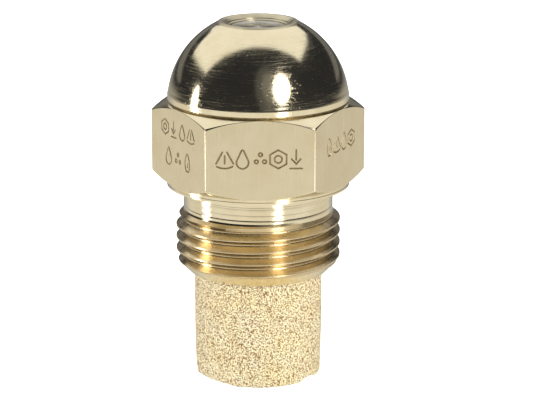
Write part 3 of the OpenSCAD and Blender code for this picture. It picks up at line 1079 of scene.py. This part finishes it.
def cut_away(mesh, cutters):
    """The mesh with each cutter taken out of it."""
    target = linked("cut_target", mesh)
    tools = []
    for shape in cutters:
        tool = linked("cut_tool", shape)
        modifier = target.modifiers.new("cut", "BOOLEAN")
        modifier.operation = "DIFFERENCE"
        modifier.solver = "EXACT"
        modifier.object = tool
        tools.append(tool)
    bpy.context.view_layer.update()
    graph = bpy.context.evaluated_depsgraph_get()
    result = bpy.data.meshes.new_from_object(target.evaluated_get(graph))
    for thing in (target, *tools):
        bpy.data.objects.remove(thing)
    result.materials.clear()
    return result


FLANGE_R = 3.93
FLANGE_H = 1.2
HEAD_H = 1.7
WAIST_R = 2.6
DISTRIBUTOR_BOTTOM_Z = 17.48
DISTRIBUTOR_TOP_Z = 28.12
SWIRL_CONE_BASE_R = 3.0
SWIRL_CONE_R = 1.4
SWIRL_CONE_Z = 29.72
SLOTS = 4
# The feed slots run along the flange and head, from FEED_R outwards
FEED_R = 2.9
FEED_DEEP, FEED_WIDE, FEED_LONG = 2.03, 0.9, 11.2
# The swirl slots run down the cone, each to one side of the axis by this share of the cone's tip
SWIRL_OFFSET = 0.62
SWIRL_LONG, SWIRL_WIDE, SWIRL_DEEP = 5, 0.35, 0.7
SWIRL_SHIFT = 1.5


def swirl_distributor():
    low, high = DISTRIBUTOR_BOTTOM_Z, DISTRIBUTOR_TOP_Z
    profile = [
        (0, low), (FLANGE_R, low), (FLANGE_R, low + FLANGE_H), (WAIST_R, low + FLANGE_H),
        (WAIST_R, high - HEAD_H), (FLANGE_R, high - HEAD_H), (FLANGE_R, high),
        (SWIRL_CONE_BASE_R, high), (SWIRL_CONE_R, SWIRL_CONE_Z), (0, SWIRL_CONE_Z),
    ]
    shell = Shell()
    shell.grid(spin(fillet(profile, 0.06, 3), turns(128)))
    feed = Matrix.Translation((FEED_R + FEED_DEEP / 2, 0, (low + high) / 2))
    slope = Matrix.Translation((SWIRL_CONE_R, SWIRL_CONE_R * SWIRL_OFFSET, SWIRL_CONE_Z))
    slope = slope @ Matrix.Rotation(math.pi / 4, 4, "Y")
    down_slope = Matrix.Translation((SWIRL_SHIFT, 0, 0))
    cutters = []
    for i in range(SLOTS):
        turn = Matrix.Rotation(i * 2 * math.pi / SLOTS, 4, "Z")
        cutters.append(block(FEED_DEEP, FEED_WIDE, FEED_LONG, turn @ feed))
        cutters.append(block(SWIRL_LONG, SWIRL_WIDE, SWIRL_DEEP, turn @ slope @ down_slope))
    mesh = cut_away(shell.mesh("swirl_distributor_steel"), cutters)
    names = ("distributor", "swirl_distributor", "distributor_steel")
    return finished("swirl_distributor_steel", mesh, [steel], *names)


SCREW_R = 4.42
SCREW_DEPTH = 0.47
SCREW_ROOT_R = SCREW_R - SCREW_DEPTH
SCREW_TOP_Z = 15.6
SCREW_TIP_Z = 17.45
SCREW_TIP_R = 3.6
SPIGOT_R = 3.36
SPIGOT_Z = 6.5
OIL_R = 1.3
# The oil bore ends at the cross holes
OIL_END_Z = 16.7
CROSS_Z = 16.4
CROSS_R = 0.5
DRIVER_LONG, DRIVER_WIDE, DRIVER_HIGH = 10, 1.2, 2.8


def screw_envelope(z):
    """Radius that the lock screw's thread is cut down to near its two ends."""
    return np.minimum(SCREW_ROOT_R + (z - LOCK_REAR_Z), SCREW_ROOT_R + (SCREW_TOP_Z - z))


def lock_screw():
    root = SCREW_ROOT_R
    around = turns(LATHE_COLUMNS)
    shell = Shell()
    rear = [
        (OIL_R, SPIGOT_Z + 0.3), (OIL_R + 0.2, SPIGOT_Z), (SPIGOT_R - 0.25, SPIGOT_Z),
        (SPIGOT_R, SPIGOT_Z + 0.25), (SPIGOT_R, LOCK_REAR_Z),
        (root - 0.02, LOCK_REAR_Z), (root, LOCK_REAR_Z),
    ]
    shell.grid(spin(fillet(rear, 0.04, 2), around))
    period = thread_period(LOCK_PITCH, SCREW_DEPTH, LOCK_PITCH / 8, 0.03, 0.03)
    thread = helix_rows(
        once_round(around), LOCK_REAR_Z, SCREW_TOP_Z, LOCK_REAR_Z, LOCK_PITCH, period,
        lambda d, z: np.minimum(SCREW_R - d, screw_envelope(z)),
    )
    shell.grid(thread, closed=False)
    front = [
        (root, SCREW_TOP_Z), (root - 0.02, SCREW_TOP_Z), (SCREW_TIP_R, SCREW_TOP_Z),
        (SCREW_TIP_R, SCREW_TIP_Z - 0.2), (SCREW_TIP_R - 0.2, SCREW_TIP_Z), (0, SCREW_TIP_Z),
    ]
    shell.grid(spin(fillet(front, 0.04, 2), around))
    oil = [(0, OIL_END_Z), (OIL_R, CROSS_Z), (OIL_R, SPIGOT_Z + 0.3)]
    shell.grid(spin(oil, around))
    crossing = Matrix.Translation((0, 0, CROSS_Z))
    cutters = [rod(CROSS_R, 2 * SCREW_R, crossing @ Matrix.Rotation(math.pi / 2, 4, axis)) for axis in "XY"]
    cutters.append(block(DRIVER_LONG, DRIVER_WIDE, DRIVER_HIGH, Matrix.Translation((0, 0, SPIGOT_Z))))
    mesh = cut_away(shell.mesh("lock_screw_brass"), cutters)
    return finished("lock_screw_brass", mesh, [turned], "lock_screw", "lock_screw", "screw_brass")


nozzle_body()
orifice_disc()
swirl_distributor()
lock_screw()
filter_bush()
sintered_filter()

# ---- stage, lights and camera

# Low enough for the filter to hang free of it in every pose
FLOOR_Z = -15.0


def floor():
    mesh = bpy.data.meshes.new("floor")
    half = 3.0
    corners = [(-half, -half, 0), (half, -half, 0), (half, half, 0), (-half, half, 0)]
    mesh.from_pydata(corners, [], [(0, 1, 2, 3)])
    thing = linked("floor", mesh)
    thing.location.z = FLOOR_Z * MM
    thing.visible_glossy = False
    thing.visible_diffuse = False
    n = Nodes("pale_floor")
    n.shader.inputs["Emission Color"].default_value = (1, 1, 1, 1)
    n.shader.inputs["Emission Strength"].default_value = 0.95
    n.shader.inputs["Specular IOR Level"].default_value = 0.1
    mesh.materials.append(n.finish((0.85, 0.85, 0.85), 0.9, None, 0.0))


def panel(name, centre, look, width, height, glow, shape="RECTANGLE", roll=0.0):
    """A soft box that the camera doesn't see. glow is its brightness, whatever its size."""
    lamp = bpy.data.lights.new(name, "AREA")
    lamp.shape = shape
    lamp.size, lamp.size_y = width, height
    lamp.energy = glow * width * height * math.pi
    thing = linked(name, lamp)
    thing.location = centre
    aim = (Vector(look) - Vector(centre)).to_track_quat("-Z", "Y")
    thing.rotation_euler = (aim @ Quaternion((0, 0, 1), math.radians(roll))).to_euler()
    thing.visible_camera = False
    return thing


def standing_panel(name, azimuth, low, high, wide, distance, glow, roll=0.0):
    """A soft box that stands round the object: azimuth from the front towards +X, all in degrees."""
    a, e = math.radians(azimuth), math.radians((low + high) / 2)
    centre = Vector((math.sin(a) * math.cos(e), -math.cos(a) * math.cos(e), math.sin(e))) * distance
    width = 2 * distance * math.tan(math.radians(wide / 2)) * math.cos(e)
    height = 2 * distance * math.tan(math.radians((high - low) / 2))
    return panel(name, centre + Vector((0, 0, 0.02)), (0, 0, 0.02), width, height, glow, "ELLIPSE", roll)


floor()
panel("overhead", (-0.185, 0.405, 0.5), (-0.185, 0.405, 0), 1.29, 0.89, 1.0)
panel("overhead_back", (-0.02, 1.1, 0.5), (-0.02, 1.1, 0), 0.83, 0.5, 0.95)
standing_panel("right_front", 31.5, 11, 43, 21, 0.8, 6.5, -14)
standing_panel("front_glow", 12, 0, 58, 34, 0.85, 0.05)
standing_panel("front_glow_core", 14, 12, 48, 20, 0.84, 0.08)
standing_panel("left", -88.5, -32, 15, 11, 0.9, 6.0)
standing_panel("right_low", 30, -36, -6, 14, 0.9, 2.2)
# A fill that only lights what scatters light, as the sintered bronze does
FILLS = (("left", -0.75, -0.25, 4.6), ("front", 0.0, -0.8, 1.5), ("right", 0.75, -0.25, 4.6))
for side, across, towards, glow in FILLS:
    fill = panel(f"fill_{side}", (across, towards, 0.22), (0, 0, 0.01), 0.6, 0.6, glow)
    fill.visible_glossy = False
standing_panel("back", 180, 2, 17, 110, 1.6, 0.12)

ROOM = (0.026, 0.028, 0.035)
# Brightness of the table from straight in front, at y = -1, to straight behind
TABLE = (
    (0.0, (0.96, 0.94, 0.90)), (0.30, (0.93, 0.93, 0.93)), (0.70, (0.80, 0.77, 0.72)),
    (0.84, (0.76, 0.75, 0.73)), (0.94, (0.44, 0.44, 0.44)), (1.0, (0.38, 0.38, 0.38)),
)


def studio_world():
    """What the metal reflects: a bright table and a dark room above it. The camera sees white."""
    world = bpy.data.worlds.new("studio")
    n = Nodes("studio", world)

    def background(color):
        return n.new("ShaderNodeBackground", {"Color": color}).outputs[0]

    def choose(share, a, b):
        return n.new("ShaderNodeMixShader", enumerate((share, a, b))).outputs[0]

    split = n.new("ShaderNodeSeparateXYZ", {0: n.new("ShaderNodeTexCoord").outputs["Generated"]})
    ramp = n.new("ShaderNodeValToRGB")
    stops = ramp.color_ramp.elements
    for place, color in TABLE[1:-1]:
        stops.new(place).color = (*color, 1)
    stops[0].color = (*TABLE[0][1], 1)
    stops[len(TABLE) - 1].color = (*TABLE[-1][1], 1)
    n.put(n.spread(split.outputs["Y"], -1.0, 1.0, 0.0, 1.0), ramp.inputs[0])
    below = n.spread(split.outputs["Z"], -0.17, -0.01, 1.0, 0.0)
    around = choose(below, background((*ROOM, 1)), background(ramp.outputs[0]))
    seen = n.new("ShaderNodeLightPath").outputs["Is Camera Ray"]
    n.put(choose(seen, around, background((1, 1, 1, 1))), n.tree.nodes["World Output"].inputs[0])
    n.tree.nodes.remove(n.tree.nodes["Background"])
    bpy.context.scene.world = world


studio_world()
bpy.context.scene.view_settings.view_transform = "Standard"

# The camera stands a little to the left of straight ahead and looks down by 15 degrees
CAMERA_DISTANCE = 238.3
CAMERA_UP = math.radians(14.976)
CAMERA_LEFT = math.radians(1.37)
AIM = Vector((0, 0, 15.45)) * MM
level = math.cos(CAMERA_UP)
back_to = Vector((-math.sin(CAMERA_LEFT) * level, -math.cos(CAMERA_LEFT) * level, math.sin(CAMERA_UP)))
camera = linked("camera", bpy.data.cameras.new("camera"))
camera.data.lens = 184.3
camera.data.sensor_width = 36
camera.data.shift_x = 0.01656
camera.data.shift_y = 0.0009
camera.data.clip_start = 0.01
camera.data.clip_end = 10
camera.location = AIM + back_to * CAMERA_DISTANCE * MM
camera.rotation_euler = (-back_to).to_track_quat("-Z", "Y").to_euler()
bpy.context.scene.camera = camera
